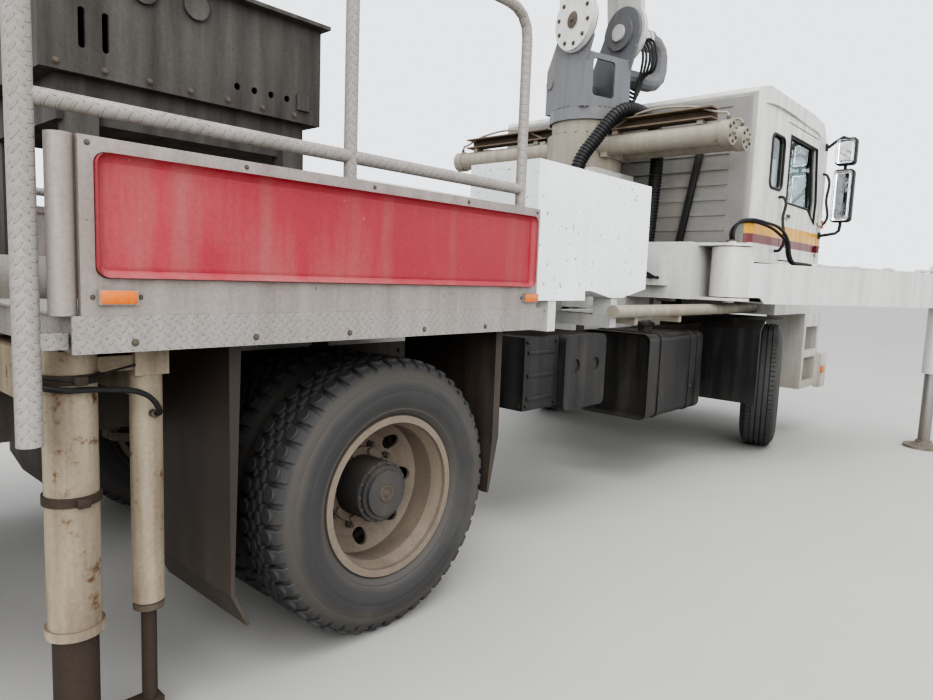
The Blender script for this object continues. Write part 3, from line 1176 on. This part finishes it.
# the pumping cylinders' flanges and pipes, the hopper's ribs and bearings, bolts on frame and boom rest
pump = {"y": 0.15, "z": 1.23, "flanges": (-1.158, 0.385), "flangeBolt": 1.347, "clamps": (0.79, 2.19),
        "pipe": ((2.24, 0.15, 1.31), (2.24, 0.15, 1.345), (2.18, 0.16, 1.36), (1.5, 0.19, 1.36),
                 (0.98, 0.19, 1.36), (0.88, 0.19, 1.38), (0.795, 0.19, 1.38)),
        "lid": ((0.43, -0.25, 1.4203), (0.77, 0.25, 1.434)), "lidBolts": (0.46, 0.74)}
hopper = {"axle": (-1.88, 0, 1.03), "wall": 0.6202, "bearing": 0.6290, "rib": ((-2.20, 0.70), (-2.17, 1.435)),
          "ribFace": 0.6420, "ribStep": 0.76}
rails = {"face": 0.4203, "firstBolt": (-1.0, 0.935), "step": 0.42, "bolts": 14, "plateFace": 0.4285,
         "plates": (-0.75, 0.15, 0.98, 2.30), "plateWidth": 0.09, "plateLow": 0.90, "plateHigh": 1.06,
         "firstRestBolt": (-0.85, 1.965), "restStep": 0.15, "restBolts": 7}


def addPumpDetail():
    pieces = []
    for s in (1, -1):
        y = s * pump["y"]
        line = (0, y, pump["z"])
        for x in (rear(flange) for flange in pump["flanges"]):
            pieces.append(collar(0.106, 0.128, x - 0.014, x + 0.014, line, alongX, 36))
            flangeBolt = bolt((x + 0.014, y, pump["flangeBolt"]), alongX, 0.007, 0.006)
            pieces.append(ringOf(flangeBolt, line, alongX, 10))
        for x in (rear(clamp) for clamp in pump["clamps"]):
            pieces.append(collar(0.0655, 0.078, x - 0.012, x + 0.012, line, alongX))
        pieces.append(lineOf(atRear(pump["pipe"], s), 0.013))
    pieces.append(block(*atRear(pump["lid"]), 0.004))
    for x in pump["lidBolts"]:
        pieces.append(rowOf(bolt((rear(x), -0.22, 1.434), upwards, 0.008, 0.006), (0, 0.11, 0), 5))
    settle(pieces, "pump_fittings", "truck", "pump_grey")
    print("pump dressed")


def addHopperDetail():
    axle = atRear([hopper["axle"]])[0]
    (x0, z0), (x1, z1) = hopper["rib"]
    ends = []
    for s in (1, -1):
        wall = s * hopper["wall"]
        bearingBolt = bolt((axle[0] + 0.062, wall, axle[2]), (0, s, 0), 0.008, 0.008)
        ends.append(ringOf(bearingBolt, axle, alongY, 6))
        ends.append(collar(0.0345, 0.082, wall, s * hopper["bearing"], axle, alongY))
        rib = block((rear(x0), wall, z0), (rear(x1), s * hopper["ribFace"], z1), 0.003)
        ends.append(rowOf(rib, (hopper["ribStep"], 0, 0), 2))
    settle(ends, "hopper_ribs", "truck", "hopper_grey")
    print("hopper dressed")


def addFrameDetail():
    pieces, restBolts = [], []
    for s in (1, -1):
        face, outwards = s * rails["face"], (0, s, 0)
        x, z = rails["firstBolt"]
        frameBolt = bolt((rear(x), face, z), outwards, 0.010, 0.008)
        pieces.append(rowOf(frameBolt, (rails["step"], 0, 0), rails["bolts"]))
        for x in (rear(plate) for plate in rails["plates"]):
            pieces.append(block((x, face, rails["plateLow"]),
                                (x + rails["plateWidth"], s * rails["plateFace"], rails["plateHigh"]), 0.002))
        x, z = rails["firstRestBolt"]
        restBolt = bolt((rear(x), face, z), outwards, 0.009, 0.007)
        restBolts.append(rowOf(restBolt, (rails["restStep"], 0, 0), rails["restBolts"]))
    settle(pieces, "frame_bolts", "truck", "frame_grey")
    settle(restBolts, "rest_bolts", "truck", "bolt_steel")
    print("frame and boom rest dressed")


addRearTyres()
addFrontTyres()
addHubs()
addSigns()
addLegRigging()
addTurretDetail()
addBigHose()
addSlewDetail()
addBoomPipes()
addOutriggerRigging()
addCabSides()
addCabEnds()
addLamps()
addTankDetail()
addPumpDetail()
addHopperDetail()
addFrameDetail()

# area lamps: where they hang, how wide they are, and their power in watts
studio = {"sky": (0.86, 0.89, 0.93), "skyStrength": 1.55, "floor": (0.36, 0.35, 0.33), "floorSize": 240,
          "aim": (0, -1, 1),
          "lamps": {"above": ((-2, -3, 13), 9, 900), "behindCamera": ((-9, -9, 6), 7, 750)}}


def addSky():
    scene = bpy.context.scene
    world = bpy.data.worlds.new("studioSky")
    world.use_nodes = True
    background = world.node_tree.nodes["Background"].inputs
    background[0].default_value = (*studio["sky"], 1)
    background[1].default_value = studio["skyStrength"]
    scene.world = world
    scene.view_settings.view_transform = "AgX"
    scene.view_settings.look = "AgX - High Contrast"


def addStudioLamps():
    for name, (place, size, power) in studio["lamps"].items():
        bpy.ops.object.light_add(type="AREA", location=place)
        lamp = bpy.context.object
        lamp.name = name
        lamp.data.size, lamp.data.energy = size, power
        lamp.rotation_mode = "QUATERNION"
        lamp.rotation_quaternion = (Vector(studio["aim"]) - Vector(place)).to_track_quat("-Z", "Y")


def addFloor():
    deselectAll()
    bpy.ops.mesh.primitive_plane_add(size=studio["floorSize"], location=(0, 0, 0))
    floor = bpy.context.object
    floor.name = "studioFloor"
    made, tree, shader = newMaterial("paleFloor")
    tone = fade(tree, noise(tree, ownPlace(tree), 0.8, 5.0), 0.3, 0.7)
    pale = (*[c * 1.06 for c in studio["floor"]], 1)
    tree.links.new(blendColours(tree, tone, (*studio["floor"], 1), pale), shader.inputs["Base Color"])
    shader.inputs["Roughness"].default_value = 0.9
    floor.data.materials.append(made)


addSky()
addStudioLamps()
addFloor()
print("studio set")
